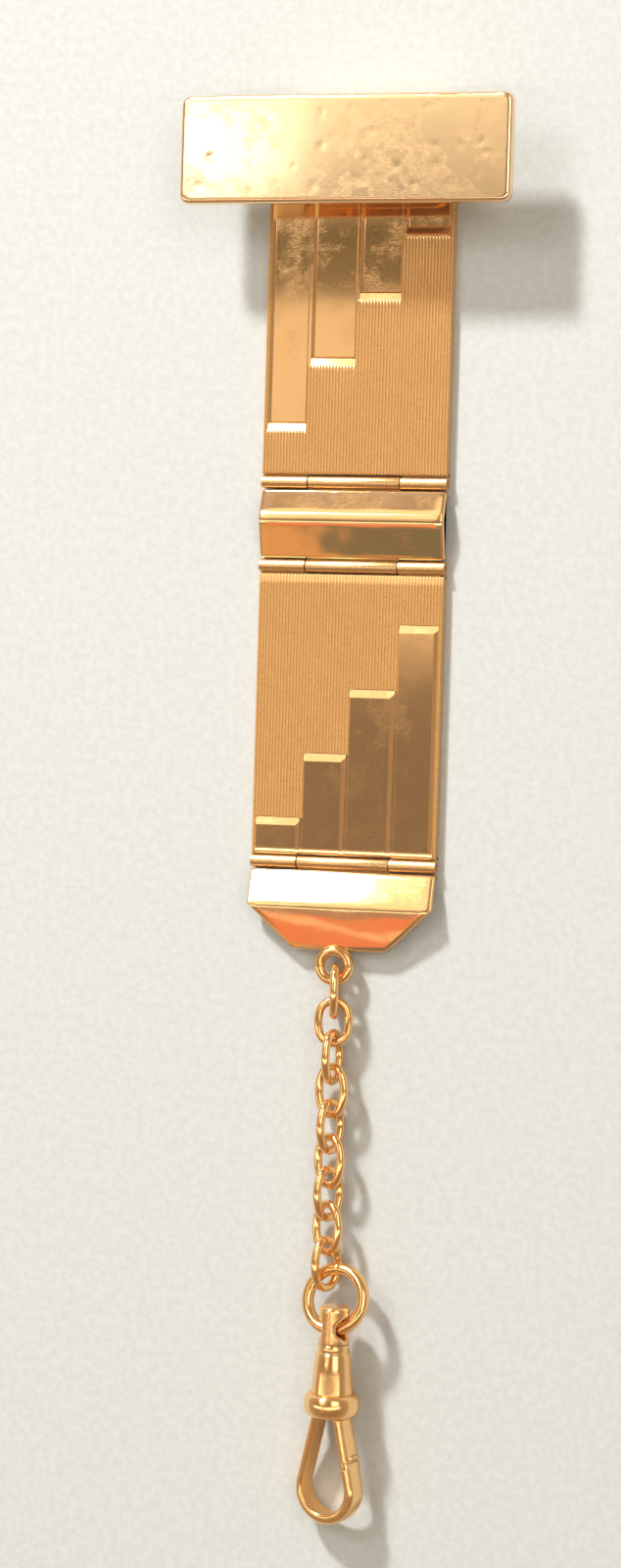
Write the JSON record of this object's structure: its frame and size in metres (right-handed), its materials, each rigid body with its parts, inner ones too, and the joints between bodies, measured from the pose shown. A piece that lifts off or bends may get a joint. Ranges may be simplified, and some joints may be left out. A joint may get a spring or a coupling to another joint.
{
  "type": "pocket watch chain",
  "caption": "Belt-worn pocket watch chain: barred belt clip, hinged two-panel engraved strap, short trace chain and swivel hook with a sprung gate.",
  "frame": {"origin": "centre of the footprint on the table that the chain lies on, face up, laid straight", "axes": "+Y along the strap towards the belt clip, +Z out of the engraved face, +X to the right when the engraved face is seen with the clip at the top"},
  "size_m": [0.0318, 0.132, 0.0071],
  "materials": {
    "bar_gold": "polished",
    "panel_gold": "ribbed and polished",
    "plate_gold": "satin",
    "link_gold": "polished",
    "swivel_gold": "polished",
    "steel": "drawn"
  },
  "bodies": {
    "clip": {"clip_bar_front": "bar_gold", "clip_bar_back": "bar_gold", "clip_spring": "plate_gold"},
    "upper_panel": {"upper_panel_face": "panel_gold", "upper_panel_back": "plate_gold", "hinge_pin_clip": "steel", "hinge_pin_upper": "steel"},
    "middle": {"middle_link": "panel_gold"},
    "lower_panel": {"lower_panel_face": "panel_gold", "lower_panel_back": "plate_gold", "hinge_pin_middle": "steel", "hinge_pin_lower": "steel"},
    "cap": {"end_cap": "panel_gold", "end_ring": "link_gold"},
    "link_01": {"chain_link_01": "link_gold"},
    "link_02": {"chain_link_02": "link_gold"},
    "link_03": {"chain_link_03": "link_gold"},
    "link_04": {"chain_link_04": "link_gold"},
    "link_05": {"chain_link_05": "link_gold"},
    "link_06": {"chain_link_06": "link_gold"},
    "link_07": {"chain_link_07": "link_gold"},
    "link_08": {"chain_link_08": "link_gold"},
    "link_09": {"chain_link_09": "link_gold"},
    "ring": {"jump_ring": "link_gold"},
    "head": {"swivel_head": "swivel_gold"},
    "hook": {"swivel_barrel": "swivel_gold", "swivel_collar": "swivel_gold", "swivel_hook": "swivel_gold", "gate_pin": "steel"},
    "gate": {"gate_lever": "swivel_gold"},
    "blade": {"gate_spring": "steel"}
  },
  "joints": [
    {"name": "clip_hinge", "type": "hinge", "parent": "clip", "child": "upper_panel", "pos_m": [0, 0.05839, 0.0006], "axis": [1, 0, 0], "range_deg": [-50, 90]},
    {"name": "upper_hinge", "type": "hinge", "parent": "upper_panel", "child": "middle", "pos_m": [0, 0.03079, 0.0006], "axis": [-1, 0, 0], "range_deg": [-90, 90]},
    {"name": "middle_hinge", "type": "hinge", "parent": "middle", "child": "lower_panel", "pos_m": [0, 0.02299, 0.0006], "axis": [1, 0, 0], "range_deg": [-90, 90]},
    {"name": "cap_hinge", "type": "hinge", "parent": "lower_panel", "child": "cap", "pos_m": [0, -0.00461, 0.0006], "axis": [-1, 0, 0], "range_deg": [-90, 90]},
    {"name": "link_01_swing", "type": "hinge", "parent": "cap", "child": "link_01", "pos_m": [-0.0003, -0.01554, 0.00156], "axis": [1, 0, 0], "range_deg": [-75, 75]},
    {"name": "link_02_swing", "type": "hinge", "parent": "link_01", "child": "link_02", "pos_m": [-0.0001, -0.01871, 0.00184], "axis": [0.2756, 0, 0.9613], "range_deg": [-75, 75]},
    {"name": "link_03_swing", "type": "hinge", "parent": "link_02", "child": "link_03", "pos_m": [-0.0001, -0.02128, 0.00184], "axis": [-0.9781, 0, 0.2079], "range_deg": [-75, 75]},
    {"name": "link_04_swing", "type": "hinge", "parent": "link_03", "child": "link_04", "pos_m": [-0.0001, -0.02481, 0.00184], "axis": [-0.1736, 0, 0.9848], "range_deg": [-75, 75]},
    {"name": "link_05_swing", "type": "hinge", "parent": "link_04", "child": "link_05", "pos_m": [-0.0001, -0.02796, 0.00184], "axis": [0.9511, 0, 0.309], "range_deg": [-75, 75]},
    {"name": "link_06_swing", "type": "hinge", "parent": "link_05", "child": "link_06", "pos_m": [-0.0001, -0.03126, 0.00184], "axis": [0.4067, 0, -0.9135], "range_deg": [-75, 75]},
    {"name": "link_07_swing", "type": "hinge", "parent": "link_06", "child": "link_07", "pos_m": [-0.0001, -0.03451, 0.00184], "axis": [-0.9063, 0, -0.4226], "range_deg": [-75, 75]},
    {"name": "link_08_swing", "type": "hinge", "parent": "link_07", "child": "link_08", "pos_m": [-0.0001, -0.03751, 0.00184], "axis": [-0.5, 0, 0.866], "range_deg": [-75, 75]},
    {"name": "link_09_swing", "type": "hinge", "parent": "link_08", "child": "link_09", "pos_m": [-0.0001, -0.04076, 0.00184], "axis": [0.891, 0, 0.454], "range_deg": [-75, 75]},
    {"name": "ring_swing", "type": "hinge", "parent": "link_09", "child": "ring", "pos_m": [-0.00012, -0.04249, 0.0017], "axis": [-0.8889, -0.4552, -0.052], "range_deg": [-45, 45]},
    {"name": "head_swing", "type": "hinge", "parent": "ring", "child": "head", "pos_m": [0.0011, -0.04776, 0.00318], "axis": [0.9848, 0.0405, 0.1689], "range_deg": [-45, 45]},
    {"name": "swivel_turn", "type": "hinge", "parent": "head", "child": "hook", "pos_m": [0.00125, -0.04895, 0.00309], "axis": [0.0262, 0.9966, 0.0784], "continuous": true},
    {"name": "gate_open", "type": "hinge", "parent": "hook", "child": "gate", "pos_m": [0.00158, -0.0548, 0.00276], "axis": [0.2587, 0.069, -0.9635], "range_deg": [0, 24], "stiffness_Nm_per_rad": 0.003, "springref_deg": -20.05},
    {"name": "gate_spring_flex", "type": "hinge", "parent": "hook", "child": "blade", "pos_m": [0.00228, -0.05085, 0.00323], "axis": [0.2587, 0.069, -0.9635], "range_deg": [-15, 0]}
  ],
  "couplings": [
    {"joint": "gate_spring_flex", "follows": "gate_open", "ratio": -0.61}
  ]
}
